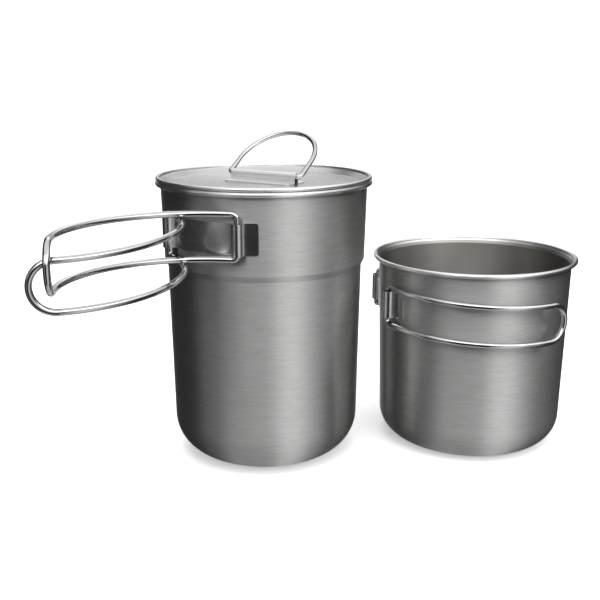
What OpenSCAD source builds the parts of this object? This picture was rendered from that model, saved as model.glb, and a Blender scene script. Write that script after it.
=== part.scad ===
// Camping cook pot set: a tall pot with a lid, and a cup that the pot nests in.
// Millimetres, +Z up. The origin is the centre of the tall pot's base.

/* [Tall pot] */
// Height to the top of the rolled rim
pot_height = 142.6; // [130:0.1:175]
// Outer radius of the rolled rim
pot_rim_r = 54.5; // [54:0.1:58]
// Radius of the rolled rim's own section
pot_bead_r = 1.2; // [1:0.05:1.6]
// Outer radius of the wall just below the rim
pot_upper_r = 51.85; // [51:0.05:52.2]
// Outer radius of the wall just above the shoulder
pot_shoulder_top_r = 50.8; // [50:0.05:51.3]
// Outer radius of the wall just below the shoulder
pot_shoulder_foot_r = 49.3; // [48:0.05:49.6]
// Outer radius of the wall where the bottom corner starts
pot_foot_r = 47.75; // [46:0.05:48.5]
// Radius of the bottom corner
pot_corner_r = 20.5; // [8:0.5:30]
// Height of the foot of the shoulder
pot_shoulder_z = 100; // [84:0.5:104]
// Height of the shoulder itself
pot_shoulder_h = 3; // [1:0.5:6]
// Sheet thickness
pot_sheet = 0.6; // [0.4:0.05:1]

/* [Cup] */
// Gap along X between the rims of the tall pot and the cup that stands beside it
cup_side_gap = 2.9; // [1:0.1:60]
// Place of the cup's axis beside the tall pot, along Y
cup_y = 17.8; // [0:0.1:60]
// Height to the top of the rolled rim
cup_height = 100.6; // [90:0.1:121]
// Outer radius of the rolled rim
cup_rim_r = 53.5; // [52.5:0.1:56]
// Radius of the rolled rim's own section
cup_bead_r = 1.1; // [0.9:0.05:1.5]
// Outer radius of the wall just below the rim
cup_upper_r = 50.4; // [50.2:0.05:51]
// Outer radius of the wall where the bottom corner starts
cup_foot_r = 48.5; // [48.4:0.05:50]
// Radius of the bottom corner
cup_corner_r = 15.4; // [6:0.2:24]
// Sheet thickness
cup_sheet = 0.5; // [0.4:0.05:1]

/* [Rims] */
// Height over which a vessel's wall flares out to its rim
flare_h = 2.6; // [1.5:0.1:5]
// Slit between the wall and the end of the rolled sheet
bead_slit = 0.3; // [0.2:0.05:0.4]

/* [Lid] */
// Radius of the lid's rolled rim section
lid_bead_r = 0.95; // [0.8:0.05:1.3]
// Depth of the pan's floor below the centre of the lid's rim
lid_recess = 2.8; // [1.5:0.1:3.2]
// Gap between the pan's flat floor and the wall just below the tall pot's rim
lid_side_gap = 1.65; // [1:0.05:6]
// Height of the upright lip under the lid's rim
lid_lip_h = 0.6; // [0.5:0.1:1.2]
// Sheet thickness
lid_sheet = 0.5; // [0.4:0.05:0.8]
// Gap between the two rims
lid_seat_gap = 0.15; // [0.1:0.05:0.3]
// Direction of the clip across the lid, in degrees
clip_turn = -33; // [-90:1:90]
// Length of the clip
clip_length = 38.6; // [20:0.2:50]
// Width of each of the clip's flanges
clip_flange = 6; // [4:0.5:10]
// Sheet thickness of the clip
clip_sheet = 0.6; // [0.4:0.05:0.8]
// Height of the ring's axis above the pan
ring_axis_h = 3.6; // [3:0.1:6]
// Radial clearance of the ring's wire in the clip
ring_play = 0.1; // [0.05:0.01:0.2]
// Diameter of the ring's wire
ring_wire_d = 2.5; // [2:0.1:3]
// Length of the ring's straight legs
ring_leg = 11.5; // [4:0.5:20]
// Radius of the ring's two bends at the clip
ring_bend_r = 2; // [1.8:0.1:3]
// Gap between the clip's end and the ring's leg
ring_side_gap = 1.05; // [0.5:0.05:3]
// Lean of the ring from upright, in degrees
ring_lean = 55; // [0:1:85]

/* [Handle wires] */
// Diameter of the folding handles' wire
wire_d = 3; // [2.4:0.1:3.4]
// Radius of the wire's bends at the hinge
wire_bend_r = 2.6; // [2.2:0.1:3]
// Reach of the tall pot's loops along the wire, from the hinge to the tip
pot_loop_reach = 118.7; // [98:0.1:124]
// Angle that the tall pot's right loop is folded out by, in degrees
pot_right_open = 183.5; // [182:0.1:185]
// Angle that the tall pot's left loop is folded out by, in degrees
pot_left_open = 179.5; // [178:0.1:181]
// How much less than one wire the tall pot's loops stand apart in height at the hinge
pot_loop_nest = 0.4; // [0.3:0.05:0.5]
// Sag of the tall pot's right loop, in degrees
pot_right_sag = 0.4; // [0:0.1:0.6]
// Sag of the tall pot's left loop, in degrees
pot_left_sag = 3.5; // [3:0.1:4]
// Reach of the cup's loops along the wire, from the hinge to the tip
cup_loop_reach = 103; // [85:1:125]
// Drop of the cup's loops in their barrels
cup_loop_drop = 0.8; // [0:0.1:0.9]
// Sag of the cup's loops, in degrees
cup_sag = 2.7; // [0:0.1:3]
// Gap left between a loop's arm and the end of its strip, once it has lifted or dropped
loop_end_gap = 0.3; // [0.2:0.05:2]

/* [Handle strips] */
// Thickness of the strips that hold the handles
strip_t = 0.6; // [0.5:0.05:0.8]
// Radial clearance of the handle wire in its barrel
barrel_play = 0.8; // [0.7:0.05:1]
// Gap between the barrel's round and the vessel's wall
barrel_stand = 0.1; // [0.05:0.05:0.5]
// Angle between a strip's middle and each barrel, in degrees
barrel_half_angle = 22.4; // [18:0.1:28]
// Width of the flange beyond each barrel
flange_w = 6.4; // [4:0.2:10]
// Corner radius of the flanges
flange_corner_r = 1.2; // [0.5:0.1:3]
// Height of the tall pot's strip
pot_strip_h = 15; // [12:0.2:15]
// Height of the middle of the tall pot's strip
pot_strip_z = 120.9; // [118:0.1:124]
// Direction of the tall pot's strip, in degrees
pot_strip_turn = -123.6; // [-140:0.1:-110]
// Height of the cup's strip
cup_strip_h = 13.8; // [10:0.2:14]
// Height of the middle of the cup's strip
cup_strip_z = 78.7; // [60:0.1:80]
// Direction of the cup's strip, in degrees
cup_strip_turn = -176.4; // [-190:0.1:-160]

/* [Hidden] */
$fn = 96;

// The tall pot's profile.
pot_bead_z = pot_height - pot_bead_r;
pot_bead_c = pot_rim_r - pot_bead_r;
pot_flare_z = pot_bead_z - flare_h;
pot_shoulder_top_z = pot_shoulder_z + pot_shoulder_h;
pot_wall = [
    [pot_shoulder_foot_r, pot_shoulder_z],
    [pot_shoulder_top_r, pot_shoulder_top_z],
    [pot_upper_r, pot_flare_z],
];

// The cup's profile.
cup_x = pot_rim_r + cup_rim_r + cup_side_gap;
cup_bead_z = cup_height - cup_bead_r;
cup_bead_c = cup_rim_r - cup_bead_r;
cup_flare_z = cup_bead_z - flare_h;
cup_wall = [[cup_upper_r, cup_flare_z]];

// The lid sits in the tall pot's mouth, rim on rim.
lid_bead_z = pot_height + lid_seat_gap + lid_bead_r;
lid_floor_z = lid_bead_z - lid_recess;
lid_wall_in = pot_bead_c - lid_bead_r;
lid_floor_r = pot_upper_r - pot_sheet - lid_side_gap;

// The ring turns in the clip.
ring_wire_r = ring_wire_d / 2;
ring_half = clip_length / 2 + ring_side_gap + ring_wire_r;
ring_axis_z = lid_floor_z + ring_axis_h;
clip_bore_r = ring_wire_r + ring_play;

// The handle wires turn in half barrels that stand on the vessels' walls.
wire_r = wire_d / 2;
bore_r = wire_r + barrel_play;
pot_strip_low_r = pot_wall_r(pot_strip_z - pot_strip_h / 2);
pot_strip_high_r = pot_wall_r(pot_strip_z + pot_strip_h / 2);
cup_strip_low_r = cup_wall_r(cup_strip_z - cup_strip_h / 2);
cup_strip_high_r = cup_wall_r(cup_strip_z + cup_strip_h / 2);
pot_pin_r = max(pot_strip_low_r, pot_strip_high_r) + bore_r + barrel_stand;
cup_pin_r = max(cup_strip_low_r, cup_strip_high_r) + bore_r + barrel_stand;

// The tall pot's right loop lifts and its left loop drops, so that one rests on the other.
pot_loop_play = (wire_d - pot_loop_nest) / 2;
pot_loop_half = pot_strip_h / 2 + wire_r + pot_loop_play + loop_end_gap;
cup_loop_half = cup_strip_h / 2 + wire_r + cup_loop_drop + loop_end_gap;

// Longer than any leg or cut needs to be.
spare = 10;
// Depth by which two stretches of one strip or wire run into each other.
merge = 0.1;
// Height by which a rolled edge laps the wall that it grows from.
bead_lap = 0.3;
// How far the short collar that joins an arm to the tip stands proud of the wire.
joint_swell = 0.03;

// Where a line from point q touches the bottom corner, a circle of radius r about c.
function tangent_point(c, r, q) =
    let (d = q - c, turn = atan2(d.y, d.x) - acos(r / norm(d)))
    c + r * [cos(turn), sin(turn)];

function corner_centre(foot_r, corner_r) = [foot_r - corner_r, corner_r];

// Angle of a loop's arms, in whole degrees, for its reach along the wire.
function loop_span(arc_r, reach, half_h) = round((reach - wire_bend_r - half_h) / arc_r * 180 / PI);

function between(a, b, z) = a.x + (z - a.y) * (b.x - a.x) / (b.y - a.y);

// Outer radius of each straight wall at height z.
function pot_wall_r(z) = between(pot_wall[1], pot_wall[2], z);

function cup_wall_r(z) =
    let (c = corner_centre(cup_foot_r, cup_corner_r))
    between(tangent_point(c, cup_corner_r, cup_wall[0]), cup_wall[0], z);

// Half section of a solid vessel, drawn in by inset all round. The wall runs through
// the points in wall, then out to lip at lip_z.
module vessel_section(foot_r, corner_r, wall, lip, lip_z, inset) {
    c = corner_centre(foot_r, corner_r);
    r = corner_r - inset;
    inner = [for (p = wall) [p.x - inset, p.y]];
    t = tangent_point(c, r, inner[0]);
    polygon(concat([[0, inset], [c.x, inset], t], inner, [[lip - inset, lip_z], [0, lip_z]]));
    translate(c) circle(r);
}

// Section of a rolled edge, open by a slit at its inner, lower side.
module rolled_edge(c, r, sheet) {
    translate(c)
        difference() {
            circle(r);
            circle(r - sheet);
            translate([-r, -r]) square([r - bead_slit, r - bead_lap]);
        }
}

// A drawn vessel: a shell of even thickness with a rolled rim.
module vessel(foot_r, corner_r, wall, bead_c, bead_z, bead_r, sheet) {
    lip = bead_c - bead_r + sheet;
    lip_z = bead_z - bead_lap / 2;
    rotate_extrude() {
        difference() {
            vessel_section(foot_r, corner_r, wall, lip, lip_z, 0);
            vessel_section(foot_r, corner_r, wall, lip, lip_z, sheet);
            translate([-corner_r, 0]) square([corner_r, bead_z]);
        }
        rolled_edge([bead_c, bead_z], bead_r, sheet);
    }
}

// A strip bent into flange, barrel, panel, barrel and flange, with its middle towards +X.
// Its flat parts follow a wall of outer radius r_low at the strip's foot and r_high at its top.
module handle_strip(r_low, r_high, pin_r, middle_z, strip_h) {
    foot_z = middle_z - strip_h / 2;
    leg_turn = (bore_r + merge) / r_high * 180 / PI;
    end_turn = (bore_r + strip_t + flange_w) / r_high * 180 / PI;
    strip_sector(r_low, r_high, foot_z, strip_h,
                 leg_turn - barrel_half_angle, barrel_half_angle - leg_turn);
    for (side = [-1, 1])
        mirror([0, side < 0 ? 1 : 0, 0]) {
            intersection() {
                strip_sector(r_low, r_high, foot_z, strip_h,
                             barrel_half_angle + leg_turn, barrel_half_angle + end_turn);
                flange_outline(r_high, barrel_half_angle, middle_z, strip_h);
            }
            difference() {
                rotate([0, 0, barrel_half_angle])
                    translate([pin_r, 0, foot_z])
                        linear_extrude(strip_h) barrel_section();
                wall_core(r_low, r_high, foot_z, strip_h);
            }
        }
}

// A stretch of strip lying on the wall, from one angle to another.
module strip_sector(r_low, r_high, foot_z, strip_h, from, to) {
    top_z = foot_z + strip_h;
    rotate([0, 0, from])
        rotate_extrude(angle = to - from)
            polygon([[r_low, foot_z], [r_low + strip_t, foot_z],
                     [r_high + strip_t, top_z], [r_high, top_z]]);
}

// The solid core that trims the barrels' legs, which end inside the flat parts.
module wall_core(r_low, r_high, foot_z, strip_h) {
    grow = (r_high - r_low) / strip_h;
    translate([0, 0, foot_z - 1])
        cylinder(h = strip_h + 2, r1 = r_low + merge - grow, r2 = r_high + merge + grow);
}

// Section of a barrel: a half round over two straight legs that reach past the wall.
module barrel_section() {
    difference() {
        circle(bore_r + strip_t);
        circle(bore_r);
        translate([-spare, -spare]) square([spare, 2 * spare]);
    }
    for (side = [-1, 1])
        translate([-spare / 2, side * (bore_r + strip_t / 2) - strip_t / 2])
            square([spare / 2, strip_t]);
}

// A block through a flange, with the flange's rounded outline as seen from outside.
module flange_outline(r, turn, middle_z, strip_h) {
    reach = bore_r + strip_t + flange_w;
    rotate([0, 0, turn])
        translate([r - spare, 0, middle_z])
            rotate([90, 0, 90])
                linear_extrude(2 * spare)
                    rounded_rectangle(2 * reach, strip_h, flange_corner_r);
}

module rounded_rectangle(width, height, corner_r) {
    square([width - 2 * corner_r, height], center = true);
    square([width, height - 2 * corner_r], center = true);
    for (x = [-1, 1], y = [-1, 1])
        translate([x * (width / 2 - corner_r), y * (height / 2 - corner_r)]) circle(corner_r);
}

// A round wire bent by angle about the Z axis, starting at +X.
module wire_bend(bend_r, section_r, angle) {
    rotate_extrude(angle = angle) translate([bend_r, 0]) circle(section_r);
}

// A handle loop. Its hinge wire stands on the Z axis, its two arms leave towards +X and
// curve towards +Y round a circle of radius arc_r, and a half round joins them at the tip.
module handle_loop(arc_r, reach, half_h) {
    span = loop_span(arc_r, reach, half_h);
    hinge_half = half_h - wire_bend_r;
    translate([0, 0, -hinge_half]) cylinder(h = 2 * hinge_half, r = wire_r);
    translate([wire_bend_r + arc_r * sin(span), arc_r - arc_r * cos(span), 0])
        rotate([0, 0, span])
            rotate([90, 0, 0])
                rotate([0, 0, -90])
                    wire_bend(half_h, wire_r, 180);
    for (side = [0, 1])
        mirror([0, 0, side]) {
            translate([wire_bend_r, 0, hinge_half])
                rotate([90, 0, 0])
                    rotate([0, 0, 90])
                        wire_bend(wire_bend_r, wire_r, 90);
            translate([wire_bend_r, arc_r, half_h])
                rotate([0, 0, -90]) {
                    wire_bend(arc_r, wire_r, span);
                    rotate([0, 0, span])
                        translate([arc_r, 0, 0])
                            rotate([90, 0, 0])
                                cylinder(h = 2 * merge, r = wire_r + joint_swell, center = true);
                }
        }
}

// Places a handle loop at its barrel. side is 1 for a loop that folds anticlockwise round
// the vessel, seen from above, and -1 for the other. open is the angle it is folded out by.
module hang_loop(pin_r, turn, side, middle_z, open, lift, sag, arc_r, reach) {
    barrel_turn = turn + side * barrel_half_angle;
    chord_turn = (reach / arc_r * 180 / PI) / 2;
    translate([pin_r * cos(barrel_turn), pin_r * sin(barrel_turn), middle_z])
        rotate([0, 0, barrel_turn + side * (90 - open)])
            mirror([0, side < 0 ? 1 : 0, 0])
                rotate(a = sag, v = [-sin(chord_turn), cos(chord_turn), 0])
                    translate([0, 0, lift])
                        children();
}

module pot_body() {
    color("silver")
        vessel(pot_foot_r, pot_corner_r, pot_wall,
               pot_bead_c, pot_bead_z, pot_bead_r, pot_sheet);
}

module pot_handle_strip() {
    color("darkgray")
        rotate([0, 0, pot_strip_turn])
            handle_strip(pot_strip_low_r, pot_strip_high_r,
                         pot_pin_r, pot_strip_z, pot_strip_h);
}

module pot_handle_right() {
    color("gainsboro")
        hang_loop(pot_pin_r, pot_strip_turn, 1, pot_strip_z, pot_right_open,
                  pot_loop_play, pot_right_sag, pot_pin_r, pot_loop_reach)
            handle_loop(pot_pin_r, pot_loop_reach, pot_loop_half);
}

module pot_handle_left() {
    color("gainsboro")
        hang_loop(pot_pin_r, pot_strip_turn, -1, pot_strip_z, pot_left_open,
                  -pot_loop_play, pot_left_sag, pot_pin_r, pot_loop_reach)
            handle_loop(pot_pin_r, pot_loop_reach, pot_loop_half);
}

module lid_pan() {
    under_r = lid_floor_r + lid_sheet / 2;
    lip_out = lid_wall_in + lid_sheet;
    lip_z = lid_bead_z - lid_lip_h;
    lip_top_z = lid_bead_z - bead_lap / 2;
    color("silver")
        rotate_extrude() {
            difference() {
                polygon([[0, lid_floor_z - lid_sheet], [under_r, lid_floor_z - lid_sheet],
                         [lip_out, lip_z], [lip_out, lip_top_z], [0, lip_top_z]]);
                polygon([[0, lid_floor_z], [lid_floor_r, lid_floor_z],
                         [lid_wall_in, lip_z], [lid_wall_in, lid_bead_z], [0, lid_bead_z]]);
            }
            rolled_edge([pot_bead_c, lid_bead_z], lid_bead_r, lid_sheet);
        }
}

// Section of the clip: a half round over two straight legs that end in flanges.
module clip_section() {
    outer_r = clip_bore_r + clip_sheet;
    difference() {
        circle(outer_r);
        circle(clip_bore_r);
        translate([-spare, -2 * spare]) square([2 * spare, 2 * spare]);
    }
    for (side = [0, 1])
        mirror([side, 0]) {
            translate([clip_bore_r, -ring_axis_h]) square([clip_sheet, ring_axis_h]);
            translate([clip_bore_r, -ring_axis_h]) square([clip_sheet + clip_flange, clip_sheet]);
        }
}

module lid_clip() {
    width = 2 * (clip_bore_r + clip_sheet + clip_flange);
    color("darkgray")
        rotate([0, 0, clip_turn])
            translate([0, 0, ring_axis_z])
                intersection() {
                    rotate([90, 0, 90])
                        linear_extrude(clip_length, center = true) clip_section();
                    translate([0, 0, -ring_axis_h - 1])
                        linear_extrude(spare)
                            rounded_rectangle(clip_length, width, flange_corner_r);
                }
}

module lid_ring() {
    color("gainsboro")
        rotate([0, 0, clip_turn])
            translate([0, 0, ring_axis_z])
                rotate([-ring_lean, 0, 0])
                    rotate([90, 0, 0]) {
                        rotate([0, 90, 0])
                            cylinder(h = 2 * (ring_half - ring_bend_r), r = ring_wire_r,
                                     center = true);
                        for (side = [0, 1])
                            mirror([side, 0, 0]) {
                                translate([ring_half - ring_bend_r, ring_bend_r])
                                    rotate([0, 0, -90])
                                        wire_bend(ring_bend_r, ring_wire_r, 90);
                                translate([ring_half, ring_bend_r, 0])
                                    rotate([-90, 0, 0])
                                        cylinder(h = ring_leg - ring_bend_r, r = ring_wire_r);
                            }
                        translate([0, ring_leg]) wire_bend(ring_half, ring_wire_r, 180);
                    }
}

module at_cup() {
    translate([cup_x, cup_y, 0]) children();
}

module cup_body() {
    color("silver")
        at_cup()
            vessel(cup_foot_r, cup_corner_r, cup_wall,
                   cup_bead_c, cup_bead_z, cup_bead_r, cup_sheet);
}

module cup_handle_strip() {
    color("darkgray")
        at_cup()
            rotate([0, 0, cup_strip_turn])
                handle_strip(cup_strip_low_r, cup_strip_high_r,
                             cup_pin_r, cup_strip_z, cup_strip_h);
}

// The cup's loops are folded against its wall.
module cup_handle(side) {
    at_cup()
        hang_loop(cup_pin_r, cup_strip_turn, side, cup_strip_z, 0,
                  -cup_loop_drop, cup_sag, cup_pin_r, cup_loop_reach)
            handle_loop(cup_pin_r, cup_loop_reach, cup_loop_half);
}

module cup_handle_right() {
    color("gainsboro") cup_handle(1);
}

module cup_handle_left() {
    color("gainsboro") cup_handle(-1);
}

pot_body();
pot_handle_strip();
pot_handle_right();
pot_handle_left();
lid_pan();
lid_clip();
lid_ring();
cup_body();
cup_handle_strip();
cup_handle_right();
cup_handle_left();
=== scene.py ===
"""Camping cook pot set: finishes, bent strips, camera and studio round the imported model."""

import math

import bpy
import numpy as np
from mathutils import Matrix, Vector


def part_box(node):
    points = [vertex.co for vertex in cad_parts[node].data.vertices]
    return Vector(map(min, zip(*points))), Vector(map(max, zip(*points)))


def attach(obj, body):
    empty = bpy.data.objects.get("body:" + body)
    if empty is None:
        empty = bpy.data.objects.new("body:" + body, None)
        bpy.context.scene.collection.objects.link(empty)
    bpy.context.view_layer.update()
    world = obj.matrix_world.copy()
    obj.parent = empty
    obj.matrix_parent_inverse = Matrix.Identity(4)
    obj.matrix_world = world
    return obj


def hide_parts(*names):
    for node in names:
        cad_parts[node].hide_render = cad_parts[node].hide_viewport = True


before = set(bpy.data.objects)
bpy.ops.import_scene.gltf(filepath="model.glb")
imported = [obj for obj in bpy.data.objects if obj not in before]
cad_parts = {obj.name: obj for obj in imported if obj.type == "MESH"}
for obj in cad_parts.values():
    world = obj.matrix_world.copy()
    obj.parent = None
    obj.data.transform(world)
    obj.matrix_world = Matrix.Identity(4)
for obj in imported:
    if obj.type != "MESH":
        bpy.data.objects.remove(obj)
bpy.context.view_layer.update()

bl_info = {
    "name": "Camping cook pot set",
    "version": (1, 0, 0),
    "blender": (4, 5, 0),
    "location": "View3D > Sidebar > Pot set",
    "description": "Finishes a stainless camping pot, cup and lid, and lights them in a studio",
    "category": "Object",
}

# Sizes that the visible pieces share with the solids, in metres and degrees.
POT_CENTRE = (0.0, 0.0)
CUP_CENTRE = (0.1109, 0.0178)
POT_BEAD_R = 0.0012
CUP_BEAD_R = 0.0011
# A wall's taper: radius and height low on it, then radius and height below the rim.
POT_WALL = (0.0508, 0.103, 0.05185, 0.1388)
CUP_WALL = (0.0485, 0.0154, 0.0504, 0.0969)
LID_RIM_LOW, LID_RIM_HIGH = 0.1426, 0.1430
BARREL_HALF_ANGLE = math.radians(22.4)
POT_STRIP_TURN, POT_STRIP_Z, POT_STRIP_HEIGHT = -123.6, 0.1209, 0.015
CUP_STRIP_TURN, CUP_STRIP_Z, CUP_STRIP_HEIGHT = -176.4, 0.0787, 0.0138
PIN_GAP = 0.0001
CLIP_TURN = math.radians(-33)
CLIP_LENGTH, CLIP_AXIS_Z, CLIP_RISE = 0.0386, 0.1445, 0.0036
CLIP_BORE, CLIP_FLANGE = 0.00135, 0.006
# A spot weld's distance from the clip's middle, across the sheet and along the clip.
CLIP_WELD_ACROSS, CLIP_WELD_ALONG = 0.0095, 0.015

# Finish of the rolled rims.
RIM_COLOUR = (0.9, 0.9, 0.9, 1.0)
RIM_ROUGHNESS = 0.30

# Stage.
SENSOR_WIDTH = 36
CAMERA_PLACE = (0.01803, -0.4695, 0.1995)
CAMERA_TILT = math.radians(75.65)
LAMP_SIZE, LAMP_POWER = 1.6, 20
LAMP_PLACE = (0.1, -0.3, 1.5)
BACKGROUND = 1.02
# Brightness round the horizon: (share of a full turn, grey), with 0.5 towards the camera
# and larger shares to its right.
BANDS = [
    (0.00, 0.42), (0.05, 0.30), (0.09, 0.015), (0.24, 0.008), (0.28, 0.03), (0.32, 0.08),
    (0.37, 0.34), (0.41, 0.68), (0.50, 0.76), (0.54, 0.82), (0.62, 0.82), (0.66, 0.66),
    (0.70, 0.46), (0.78, 0.32), (0.85, 0.20), (0.92, 0.14), (0.96, 0.30), (1.00, 0.42),
]


# ---------------------------------------------------------------- shader expressions


class Value:
    """A socket in a node tree. Arithmetic on it adds Math nodes."""

    def __init__(self, nodes, socket):
        self.nodes = nodes
        self.socket = socket

    def math(self, operation, *others):
        """This value and the others through one Math node."""
        values = dict(enumerate((self, *others)))
        return self.nodes.add("ShaderNodeMath", {"operation": operation}, values)

    def __add__(self, other):
        return self.math("ADD", other)

    __radd__ = __add__

    def __sub__(self, other):
        return self.math("SUBTRACT", other)

    def __rsub__(self, other):
        return (self * -1.0) + other

    def __mul__(self, other):
        return self.math("MULTIPLY", other)

    __rmul__ = __mul__

    def size(self):
        """The value without its sign."""
        return self.math("ABSOLUTE")

    def rise(self, low, high):
        """0 below low and 1 above high, with a smooth rise between them."""
        values = {"Value": self, "From Min": low, "From Max": high}
        return self.nodes.add("ShaderNodeMapRange", {"interpolation_type": "SMOOTHSTEP"}, values)


class Nodes:
    """Adds nodes to a tree. A node's settings come first, then its inputs."""

    def __init__(self, tree):
        self.tree = tree
        tree.nodes.clear()

    def add(self, kind, settings=None, values=None, out=0):
        """A new node's output, as a Value."""
        node = self.tree.nodes.new(kind)
        for key, setting in (settings or {}).items():
            if key == "stops":
                self.set_stops(node.color_ramp, setting)
            else:
                setattr(node, key, setting)
        for key, value in (values or {}).items():
            self.feed(node.inputs[key], value)
        return Value(self, node.outputs[out]) if node.outputs else None

    def feed(self, socket, value):
        """Links a Value to a socket, or sets the socket's own value."""
        if isinstance(value, Value):
            self.tree.links.new(value.socket, socket)
        else:
            socket.default_value = value

    @staticmethod
    def set_stops(ramp, stops):
        """Gives a ramp these (position, grey) stops."""
        while len(ramp.elements) < len(stops):
            ramp.elements.new(0.5)
        for element, (position, grey) in zip(ramp.elements, stops):
            element.position = position
            element.color = (grey, grey, grey, 1.0)

    def point(self):
        """Position on the object, in metres."""
        return self.add("ShaderNodeTexCoord", out="Object")

    def parts(self, vector):
        """X, Y and Z of a vector."""
        split = self.add("ShaderNodeSeparateXYZ", None, {0: vector}).socket.node
        return [Value(self, split.outputs[i]) for i in range(3)]

    def vector(self, x, y, z):
        """A vector from its three parts."""
        return self.add("ShaderNodeCombineXYZ", None, {0: x, 1: y, 2: z})

    def placed(self, vector, scale, offset=(0, 0, 0)):
        """The vector scaled and moved."""
        values = {"Vector": vector, "Location": offset, "Scale": scale}
        return self.add("ShaderNodeMapping", None, values)

    def noise(self, vector, detail):
        """Smooth noise round 0.5."""
        values = {"Vector": vector, "Scale": 1.0, "Detail": detail}
        return self.add("ShaderNodeTexNoise", None, values)

    def distance(self, vector):
        """Length of a vector."""
        settings = {"operation": "LENGTH"}
        return self.add("ShaderNodeVectorMath", settings, {0: vector}, out="Value")

    def tone(self, factor, dark, light):
        """A colour between two given colours, dark and light."""
        return self.blend(factor, (*dark, 1.0), (*light, 1.0))

    def blend(self, factor, first, second):
        """A colour between two colours, each given or a Value."""
        node = self.tree.nodes.new("ShaderNodeMix")
        node.data_type = "RGBA"
        for index, value in ((0, factor), (6, first), (7, second)):
            self.feed(node.inputs[index], value)
        return Value(self, node.outputs[2])


def metal(name, make):
    """A metal. make(nodes) gives its base colour, roughness, bump height and fixed values."""
    material = bpy.data.materials.new(name)
    material.use_nodes = True
    nodes = Nodes(material.node_tree)
    looks = make(nodes)
    values = {"Metallic": 1.0, "Base Color": looks["colour"], "Roughness": looks["roughness"]}
    if "height" in looks:
        bump = {"Height": looks["height"], "Distance": looks["depth"], "Strength": 1.0}
        values["Normal"] = nodes.add("ShaderNodeBump", None, bump)
    values.update(looks.get("fixed", {}))
    shader = nodes.add("ShaderNodeBsdfPrincipled", None, values)
    nodes.add("ShaderNodeOutputMaterial", None, {"Surface": shader})
    return material


# ---------------------------------------------------------------- settings


class StageSettings(bpy.types.PropertyGroup):
    """Camera, floor and light."""

    lens: bpy.props.FloatProperty(
        name="Lens", description="Focal length of the camera", default=55.9, min=10
    )
    floor_half: bpy.props.FloatProperty(
        name="Floor", description="Half the floor's width", default=3.0, subtype="DISTANCE"
    )
    floor_grey: bpy.props.FloatProperty(
        name="Floor tone", description="Brightness of the floor", default=0.9, min=0, max=1
    )
    light: bpy.props.FloatProperty(
        name="Light", description="Brightness of the studio's surroundings", default=1.0, min=0
    )


class SteelSettings(bpy.types.PropertyGroup):
    """Tones of the stainless steel."""

    wall_dark: bpy.props.FloatVectorProperty(
        name="Grain, dark", description="Wall colour in the grain's dark lines",
        subtype="COLOR", default=(0.56, 0.56, 0.555), min=0, max=1,
    )
    wall_light: bpy.props.FloatVectorProperty(
        name="Grain, light", description="Wall colour in the grain's bright lines",
        subtype="COLOR", default=(0.66, 0.66, 0.655), min=0, max=1,
    )
    # Painted shade: the insides' colour is darker than the walls' so that the hollows read shaded;
    # the satin finish itself is in the roughness.
    inside: bpy.props.FloatVectorProperty(
        name="Inside", description="Colour of the vessels' insides",
        subtype="COLOR", default=(0.43, 0.415, 0.395), min=0, max=1,
    )
    wire: bpy.props.FloatVectorProperty(
        name="Wire", description="Colour of the polished wire",
        subtype="COLOR", default=(0.60, 0.60, 0.60), min=0, max=1,
    )
    strip: bpy.props.FloatVectorProperty(
        name="Strip", description="Colour of the bent strips",
        subtype="COLOR", default=(0.62, 0.615, 0.61), min=0, max=1,
    )
    wall_roughness: bpy.props.FloatProperty(
        name="Wall roughness", description="Roughness of the brushed walls",
        default=0.50, min=0, max=1,
    )


class StripSettings(bpy.types.PropertyGroup):
    """Sheet of the strips and the clip."""

    sheet: bpy.props.FloatProperty(
        name="Sheet", description="Thickness of the strips", default=0.0006, subtype="DISTANCE"
    )
    bore: bpy.props.FloatProperty(
        name="Bore", description="Inner radius of a barrel", default=0.0023, subtype="DISTANCE"
    )
    flange: bpy.props.FloatProperty(
        name="Flange", description="Width of a flange", default=0.0064, subtype="DISTANCE"
    )
    corner: bpy.props.FloatProperty(
        name="Corner", description="Corner radius of a flange", default=0.0012,
        subtype="DISTANCE",
    )
    edge: bpy.props.FloatProperty(
        name="Edge", description="Rounding of the cut edges", default=0.00012,
        subtype="DISTANCE",
    )


# ---------------------------------------------------------------- finishes


def vessel_steel(centre, rim_z, steel):
    """Steel brushed round a vessel, with a satin inside whose darker colour is painted shade of
    the hollow, and a polished rim.
    """

    def make(nodes):
        point = nodes.point()
        fine = nodes.noise(nodes.placed(point, (190, 190, 2300)), 2.0)
        coarse = nodes.noise(nodes.placed(point, (90, 90, 900)), 3.0)
        cloud = nodes.noise(nodes.placed(point, (22, 22, 30)), 2.0)
        grain = fine * 0.45 + coarse * 0.55
        local = nodes.placed(point, (1, 1, 0), (-centre[0], -centre[1], 0))
        normal = nodes.add("ShaderNodeTexCoord", out="Normal")
        dot = {"operation": "DOT_PRODUCT"}
        facing = nodes.add("ShaderNodeVectorMath", dot, {0: local, 1: normal}, out="Value")
        inside = 1.0 - facing.rise(-0.004, 0.0)
        z = nodes.parts(point)[2]
        rim = z.rise(rim_z - 0.0002, rim_z + 0.0002)
        lines = grain.rise(0.3, 0.7)
        wall = nodes.tone(lines, steel.wall_dark, steel.wall_light)
        # Painted shade: the inside gets the darker inside colour, with its real grain lines on it.
        inside_grain_and_painted_shade = nodes.tone(lines, [c * 0.93 for c in steel.inside], steel.inside)
        bare = nodes.blend(inside, wall, inside_grain_and_painted_shade)
        colour = nodes.blend(rim, bare, RIM_COLOUR)
        rough = grain * 0.12 + cloud * 0.06 + (steel.wall_roughness - 0.09) - inside * 0.16
        roughness = rough * (1.0 - rim) + rim * RIM_ROUGHNESS
        return {
            "colour": colour,
            "roughness": roughness,
            "height": coarse * (1.0 - rim),
            "depth": 0.000008,
            "fixed": {"Anisotropic": 0.95, "Anisotropic Rotation": 0.25},
        }

    return make


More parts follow.
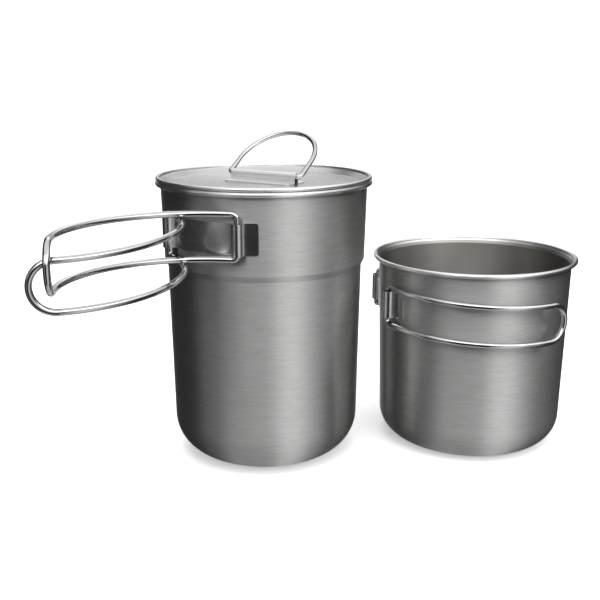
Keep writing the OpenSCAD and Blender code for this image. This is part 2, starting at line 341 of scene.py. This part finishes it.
def turned_steel():
    """Pressed steel with faint round turning marks about the Z axis."""

    def make(nodes):
        point = nodes.point()
        flat = nodes.placed(point, (1, 1, 0))
        radius = nodes.distance(flat)
        x, _, z = nodes.parts(point)
        marks = nodes.noise(nodes.vector(radius * 2200, z * 2200, x * 20), 3.0)
        cloud = nodes.noise(nodes.placed(point, (35, 35, 35)), 2.0)
        rim = z.rise(LID_RIM_LOW, LID_RIM_HIGH)
        bare = nodes.tone(marks.rise(0.3, 0.7), (0.655, 0.655, 0.65), (0.69, 0.69, 0.685))
        colour = nodes.blend(rim, bare, RIM_COLOUR)
        roughness = (marks * 0.08 + cloud * 0.03 + 0.22) * (1.0 - rim) + rim * RIM_ROUGHNESS
        return {
            "colour": colour,
            "roughness": roughness,
            "height": marks,
            "depth": 0.000002,
            "fixed": {"Anisotropic": 0.5, "Anisotropic Rotation": 0.25},
        }

    return make


def wire_steel(steel):
    """Polished drawn wire with faint handling marks."""

    def make(nodes):
        point = nodes.point()
        cloud = nodes.noise(nodes.placed(point, (90, 90, 90)), 3.0)
        fine = nodes.noise(nodes.placed(point, (900, 900, 900)), 2.0)
        light = [min(1.0, c * 1.1) for c in steel.wire]
        return {
            "colour": nodes.tone(cloud.rise(0.35, 0.65), steel.wire, light),
            "roughness": cloud * 0.05 + fine * 0.03 + 0.03,
            "height": fine,
            "depth": 0.000004,
        }

    return make


def strip_steel(steel):
    """Satin strip. Its UV map holds metres along and up, from the middle of the strip."""

    def make(nodes):
        where = nodes.add("ShaderNodeUVMap", {"uv_map": "sheet"})
        u, v = nodes.parts(where)[:2]
        grain = nodes.noise(nodes.vector(u * 220, v * 2600, 0.0), 3.0)
        cloud = nodes.noise(nodes.vector(u * 120, v * 120, 3.0), 3.0)
        light = [min(1.0, c * 1.2) for c in steel.strip]
        mottle = (grain * 0.4 + cloud * 0.6).rise(0.3, 0.7)
        return {
            "colour": nodes.tone(mottle, steel.strip, light),
            "roughness": grain * 0.06 + cloud * 0.08 + 0.13,
            "height": grain,
            "depth": 0.000004,
        }

    return make


def clip_steel():
    """Bright strip brushed along its length, with a spot weld at each end of each flange."""

    def make(nodes):
        where = nodes.add("ShaderNodeUVMap", {"uv_map": "sheet"})
        u, v = nodes.parts(where)[:2]
        grain = nodes.noise(nodes.vector(u * 1300, v * 12, 0.0), 3.0)
        to_weld = (u.size() - CLIP_WELD_ACROSS, v.size() - CLIP_WELD_ALONG, 0.0)
        spot = nodes.distance(nodes.vector(*to_weld))
        weld = 1.0 - spot.rise(0.0008, 0.0014)
        lines = grain.rise(0.3, 0.7)
        return {
            "colour": nodes.tone(lines, (0.86, 0.86, 0.86), (1.0, 1.0, 1.0)),
            "roughness": grain * 0.12 + weld * 0.1 + 0.36,
            "height": grain * 3.0 - weld,
            "depth": 0.00012,
        }

    return make


# ---------------------------------------------------------------- bent sheet


def sheet_piece(name, middle, uv, thickness, edge):
    """A sheet of even thickness about a grid of middle points (rows, columns, 3).

    Each point goes half the thickness out and in along the grid's normal there, which is
    the cross product of its two difference directions, and the two skins are joined by a
    band round the edge. A small bevel rounds the cut edges.
    """
    across = np.gradient(middle, axis=1)
    up = np.gradient(middle, axis=0)
    normal = np.cross(across, up)
    normal /= np.linalg.norm(normal, axis=2, keepdims=True)
    skins = np.stack([middle + normal * thickness / 2, middle - normal * thickness / 2])
    rows, columns = middle.shape[:2]
    index = np.arange(2 * rows * columns).reshape(2, rows, columns)
    outer, inner = index
    front = np.stack([outer[:-1, :-1], outer[:-1, 1:], outer[1:, 1:], outer[1:, :-1]], axis=-1)
    back = np.stack([inner[:-1, :-1], inner[1:, :-1], inner[1:, 1:], inner[:-1, 1:]], axis=-1)
    loop_out = np.concatenate([outer[0, :-1], outer[:-1, -1], outer[-1, :0:-1], outer[:0:-1, 0]])
    loop_in = np.concatenate([inner[0, :-1], inner[:-1, -1], inner[-1, :0:-1], inner[:0:-1, 0]])
    band = np.stack([loop_out, loop_in, np.roll(loop_in, -1), np.roll(loop_out, -1)], axis=-1)
    faces = np.concatenate([front.reshape(-1, 4), back.reshape(-1, 4), band])
    mesh = bpy.data.meshes.new(name)
    mesh.from_pydata(skins.reshape(-1, 3).tolist(), [], faces.tolist())
    layer = mesh.uv_layers.new(name="sheet")
    corners = np.empty(len(mesh.loops), dtype=np.int32)
    mesh.loops.foreach_get("vertex_index", corners)
    flat = np.concatenate([uv.reshape(-1, 2)] * 2)
    layer.data.foreach_set("uv", flat[corners].ravel())
    mesh.shade_smooth()
    mesh.validate()
    piece = bpy.data.objects.new(name, mesh)
    bpy.context.scene.collection.objects.link(piece)
    bevel = piece.modifiers.new("Cut edges", "BEVEL")
    bevel.width = edge
    bevel.segments = 2
    bevel.limit_method = "ANGLE"
    bevel.angle_limit = math.radians(50)
    bevel.harden_normals = True
    return piece


def run_lengths(points):
    """Distance along a line of points, from its middle."""
    steps = np.linalg.norm(np.diff(points, axis=0), axis=1)
    along = np.concatenate([[0.0], np.cumsum(steps)])
    return along - along[-1] / 2


def half_heights(along, full, corner):
    """Half height of a sheet at each distance along it, cut in by a quarter round at both
    ends: full - corner + sqrt(corner^2 - (corner - end distance)^2)."""
    end = np.clip(along[-1] - np.abs(along), 0, corner)
    return full - corner + np.sqrt(np.maximum(corner**2 - (corner - end) ** 2, 0))


def handle_strip(name, centre, turn, wall_low, wall_high, pin_r, z, height, s):
    """The strip's middle surface: flange, leg, half round, leg, panel and the same again.

    The flat parts lie at the wall's radius plus half a sheet. In a barrel's own frame the
    legs run straight out at the half round's radius either side of the pin, and the half
    round is (pin_r + c cos t, c sin t). Every row has its own wall radius, so the flat
    parts follow the wall's taper.
    """
    rows = 11
    share = np.linspace(-1, 1, rows)[:, None]
    wall = (wall_low + wall_high) / 2 + share * (wall_high - wall_low) / 2 + s.sheet / 2
    c = s.bore + s.sheet / 2
    end = (s.bore + s.sheet + s.flange) / wall_high
    leg = np.arcsin(c / wall)

    def flat(first, last, count):
        t = first + (last - first) * np.linspace(0, 1, count)[None, :]
        return np.stack([wall * np.cos(t), wall * np.sin(t)], axis=2)

    def barrel(angle):
        foot = np.sqrt(wall**2 - c**2)
        out = np.linspace(0, 1, 8)[None, :]
        rise = foot + (pin_r - foot) * out
        t = np.linspace(-math.pi / 2, math.pi / 2, 33)[None, 1:-1]
        round_u = np.broadcast_to(pin_r + c * np.cos(t), (rows, 31))
        round_v = np.broadcast_to(c * np.sin(t), (rows, 31))
        u = np.concatenate([rise, round_u, rise[:, ::-1]], axis=1)
        v = np.concatenate([np.full_like(rise, -c), round_v, np.full_like(rise, c)], axis=1)
        return np.stack(
            [u * math.cos(angle) - v * math.sin(angle), u * math.sin(angle) + v * math.cos(angle)],
            axis=2,
        )

    plan = np.concatenate(
        [
            flat(-BARREL_HALF_ANGLE - end, -BARREL_HALF_ANGLE - leg, 24)[:, :-1],
            barrel(-BARREL_HALF_ANGLE),
            flat(-BARREL_HALF_ANGLE + leg, BARREL_HALF_ANGLE - leg, 40)[:, 1:-1],
            barrel(BARREL_HALF_ANGLE),
            flat(BARREL_HALF_ANGLE + leg, BARREL_HALF_ANGLE + end, 24)[:, 1:],
        ],
        axis=1,
    )
    along = run_lengths(plan[rows // 2])
    half = half_heights(along, height / 2, s.corner)
    heights = share * half
    x = centre[0] + plan[..., 0] * math.cos(turn) - plan[..., 1] * math.sin(turn)
    y = centre[1] + plan[..., 0] * math.sin(turn) + plan[..., 1] * math.cos(turn)
    middle = np.stack([x, y, z + heights], axis=2)
    uv = np.stack([np.broadcast_to(along, heights.shape), heights], axis=2)
    return sheet_piece(name, middle, uv, s.sheet, s.edge)


def lid_clip(name, s):
    """The clip's middle surface: flange, leg, half round, leg, flange, drawn along its length.

    In section the flanges lie half a sheet above the pan, the legs stand straight at the
    half round's radius, and the half round is (c sin t, c cos t) about the ring's axis.
    """
    c = CLIP_BORE + s.sheet / 2
    foot = s.sheet / 2 - CLIP_RISE
    edge_x = c + s.sheet / 2 + CLIP_FLANGE
    out = np.stack([np.linspace(-edge_x, -c, 16), np.full(16, foot)], axis=1)
    leg = np.stack([np.full(6, -c), np.linspace(foot, 0, 6)], axis=1)[1:]
    t = np.linspace(-math.pi / 2, math.pi / 2, 25)[1:-1]
    half_round = np.stack([c * np.sin(t), c * np.cos(t)], axis=1)
    side = np.concatenate([out, leg])
    section = np.concatenate([side, half_round, side[::-1] * (-1, 1)])
    along = run_lengths(section)
    half = half_heights(along, CLIP_LENGTH / 2, s.corner)
    share = np.linspace(-1, 1, 15)[:, None]
    lengths = share * half
    across = np.broadcast_to(section[:, 0], lengths.shape)
    x = -lengths * math.cos(CLIP_TURN) - across * math.sin(CLIP_TURN)
    y = -lengths * math.sin(CLIP_TURN) + across * math.cos(CLIP_TURN)
    z = np.broadcast_to(CLIP_AXIS_Z + section[:, 1], lengths.shape)
    middle = np.stack([x, y, z], axis=2)
    uv = np.stack([np.broadcast_to(along, lengths.shape), lengths], axis=2)
    return sheet_piece(name, middle, uv, s.sheet, s.edge)


def give(piece, material):
    """Gives a piece or a CAD node one material."""
    piece.data.materials.clear()
    piece.data.materials.append(material)


# ---------------------------------------------------------------- operators


class POTSET_OT_stage(bpy.types.Operator):
    """Camera, pale floor and soft surroundings"""

    bl_idname = "potset.stage"
    bl_label = "Stage"

    def execute(self, context):
        stage = context.scene.potset_stage
        self.camera(context, stage)
        self.floor(stage)
        self.surroundings(context, stage)
        self.softboxes(stage)
        return {"FINISHED"}

    @staticmethod
    def camera(context, stage):
        data = bpy.data.cameras.new("camera")
        data.lens = stage.lens
        data.sensor_width = SENSOR_WIDTH
        camera = bpy.data.objects.new("camera", data)
        camera.location = CAMERA_PLACE
        camera.rotation_euler = (CAMERA_TILT, 0, 0)
        context.scene.collection.objects.link(camera)
        context.scene.camera = camera
        context.scene.view_settings.view_transform = "Standard"

    @staticmethod
    def floor(stage):
        """A flat square at the height of the vessels' bases."""
        half = stage.floor_half
        corners = [(-half, -half, 0), (half, -half, 0), (half, half, 0), (-half, half, 0)]
        mesh = bpy.data.meshes.new("floor")
        mesh.from_pydata(corners, [], [(0, 1, 2, 3)])
        floor = bpy.data.objects.new("floor", mesh)
        bpy.context.scene.collection.objects.link(floor)
        material = bpy.data.materials.new("Pale floor")
        material.use_nodes = True
        nodes = Nodes(material.node_tree)
        grey = stage.floor_grey
        shader = nodes.add(
            "ShaderNodeBsdfPrincipled",
            None,
            {
                "Base Color": (grey, grey, grey, 1.0), "Roughness": 0.9,
                "Emission Color": (1.0, 1.0, 1.0, 1.0), "Emission Strength": 0.35,
            },
        )
        nodes.add("ShaderNodeOutputMaterial", None, {"Surface": shader})
        floor.data.materials.append(material)
        floor.visible_glossy = False

    @staticmethod
    def surroundings(context, stage):
        """Light by direction. The bands shine from above the horizon, and weakly from it.

        Overhead is white and underfoot is grey. Low down the front is dark, which gives the
        wires their dark core, with a bright stripe to its right and a lit panel to its left.
        The camera itself sees an even white background.
        """
        world = bpy.data.worlds.new("Studio")
        world.use_nodes = True
        context.scene.world = world
        nodes = Nodes(world.node_tree)
        way = nodes.add("ShaderNodeTexCoord", out="Generated")
        x, y, z = nodes.parts(way)
        compass = x.math("ARCTAN2", y * -1.0) * (0.5 / math.pi) + 0.5
        bands = nodes.add("ShaderNodeValToRGB", {"stops": BANDS}, {"Fac": compass})
        above = z.rise(0.22, 0.56)
        top = z.rise(0.6, 0.85)
        below = 1.0 - z.rise(-0.93, -0.8)
        aside = (compass - 0.465).size().rise(0.05, 0.085)
        stripe = 1.0 - (compass - 0.60).size().rise(0.02, 0.06)
        panel = 1.0 - (compass - 0.296).size().rise(0.015, 0.04)
        side = panel * z.rise(0.0, 0.15) * 0.55
        right = compass.rise(0.68, 0.72) * (1.0 - compass.rise(0.93, 0.96))
        behind = (compass - 0.5).size().rise(0.42, 0.46)
        share = (stripe * 0.4 + behind * 0.9 + 0.5) * (1.0 - right * 0.9)
        front = 0.03 + aside * bands * share + side
        level = front + above * (bands * 4.1 - front)
        level = level + top * (1.0 - level)
        level = level + below * (0.55 - level)
        seen = nodes.add("ShaderNodeLightPath", out="Is Camera Ray")
        colour = level + seen * (BACKGROUND - level)
        back = nodes.add(
            "ShaderNodeBackground", None, {"Color": colour, "Strength": stage.light}
        )
        nodes.add("ShaderNodeOutputWorld", None, {"Surface": back})

    @staticmethod
    def softboxes(stage):
        """One large soft light overhead, which only the floor and dull things see."""
        data = bpy.data.lights.new("overhead", "AREA")
        data.shape = "DISK"
        data.size = LAMP_SIZE
        data.energy = LAMP_POWER
        lamp = bpy.data.objects.new("overhead", data)
        lamp.location = LAMP_PLACE
        lamp.visible_glossy = False
        bpy.context.scene.collection.objects.link(lamp)


class POTSET_OT_vessels(bpy.types.Operator):
    """Brushed steel on the tall pot and the cup"""

    bl_idname = "potset.vessels"
    bl_label = "Pot and cup"

    def execute(self, context):
        steel = context.scene.potset_steel
        rows = (("pot_body", POT_CENTRE, POT_BEAD_R), ("cup_body", CUP_CENTRE, CUP_BEAD_R))
        for node, centre, bead_r in rows:
            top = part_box(node)[1][2]
            make = vessel_steel(centre, top - 2 * bead_r, steel)
            give(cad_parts[node], metal(f"Brushed {node}", make))
        return {"FINISHED"}


class POTSET_OT_lid(bpy.types.Operator):
    """Turned pan and brushed clip"""

    bl_idname = "potset.lid"
    bl_label = "Lid"

    def execute(self, context):
        give(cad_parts["lid_pan"], metal("Turned lid", turned_steel()))
        clip = lid_clip("clip", context.scene.potset_strip)
        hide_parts("lid_clip")
        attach(clip, "lid")
        give(clip, metal("Brushed clip", clip_steel()))
        return {"FINISHED"}


class POTSET_OT_strips(bpy.types.Operator):
    """The two bent strips that hold the folding loops"""

    bl_idname = "potset.strips"
    bl_label = "Handle strips"

    def execute(self, context):
        steel = context.scene.potset_steel
        strip = context.scene.potset_strip
        pot = (POT_CENTRE, POT_STRIP_TURN, self.wall(*POT_WALL), POT_STRIP_Z, POT_STRIP_HEIGHT)
        cup = (CUP_CENTRE, CUP_STRIP_TURN, self.wall(*CUP_WALL), CUP_STRIP_Z, CUP_STRIP_HEIGHT)
        rows = (
            ("pot_strip", "pot_handle_strip", "tall_pot", *pot),
            ("cup_strip", "cup_handle_strip", "cup", *cup),
        )
        for name, node, body, centre, turn, wall, z, height in rows:
            low, high = wall(z - height / 2), wall(z + height / 2)
            pin_r = high + strip.bore + PIN_GAP
            piece = handle_strip(
                name, centre, math.radians(turn), low, high, pin_r, z, height, strip
            )
            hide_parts(node)
            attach(piece, body)
            give(piece, metal(f"Satin {name}", strip_steel(steel)))
        return {"FINISHED"}

    @staticmethod
    def wall(low_r, low_z, high_r, high_z):
        """Radius of a tapering wall as a function of height."""
        return lambda z: low_r + (z - low_z) * (high_r - low_r) / (high_z - low_z)


class POTSET_OT_wires(bpy.types.Operator):
    """Polished steel on the four loops and the ring"""

    bl_idname = "potset.wires"
    bl_label = "Wires"

    def execute(self, context):
        polished = metal("Polished wire", wire_steel(context.scene.potset_steel))
        wires = ("pot_handle_right", "pot_handle_left", "lid_ring", "cup_handle_right",
                 "cup_handle_left")
        for node in wires:
            give(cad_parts[node], polished)
        return {"FINISHED"}


class POTSET_PT_panel(bpy.types.Panel):
    """Lists the pieces of the set"""

    bl_label = "Camping cook pot set"
    bl_idname = "POTSET_PT_panel"
    bl_space_type = "VIEW_3D"
    bl_region_type = "UI"
    bl_category = "Pot set"

    def draw(self, context):
        for kind in OPERATORS:
            self.layout.operator(kind.bl_idname)
        for key in GROUPS:
            group = getattr(context.scene, key)
            box = self.layout.box()
            for name in group.__annotations__:
                box.prop(group, name)


OPERATORS = (
    POTSET_OT_stage,
    POTSET_OT_vessels,
    POTSET_OT_lid,
    POTSET_OT_strips,
    POTSET_OT_wires,
)
GROUPS = {
    "potset_stage": StageSettings,
    "potset_steel": SteelSettings,
    "potset_strip": StripSettings,
}


def register():
    """Registers the classes and puts their settings on the scene."""
    for kind in (*GROUPS.values(), *OPERATORS, POTSET_PT_panel):
        bpy.utils.register_class(kind)
    for name, group in GROUPS.items():
        setattr(bpy.types.Scene, name, bpy.props.PointerProperty(type=group))


def unregister():
    """Takes the settings and the classes away again."""
    for name in GROUPS:
        delattr(bpy.types.Scene, name)
    for kind in reversed((*GROUPS.values(), *OPERATORS, POTSET_PT_panel)):
        bpy.utils.unregister_class(kind)


def main():
    """Makes every piece in order."""
    register()
    bpy.ops.potset.stage()
    bpy.ops.potset.vessels()
    bpy.ops.potset.lid()
    bpy.ops.potset.strips()
    bpy.ops.potset.wires()


if __name__ == "__main__":
    main()
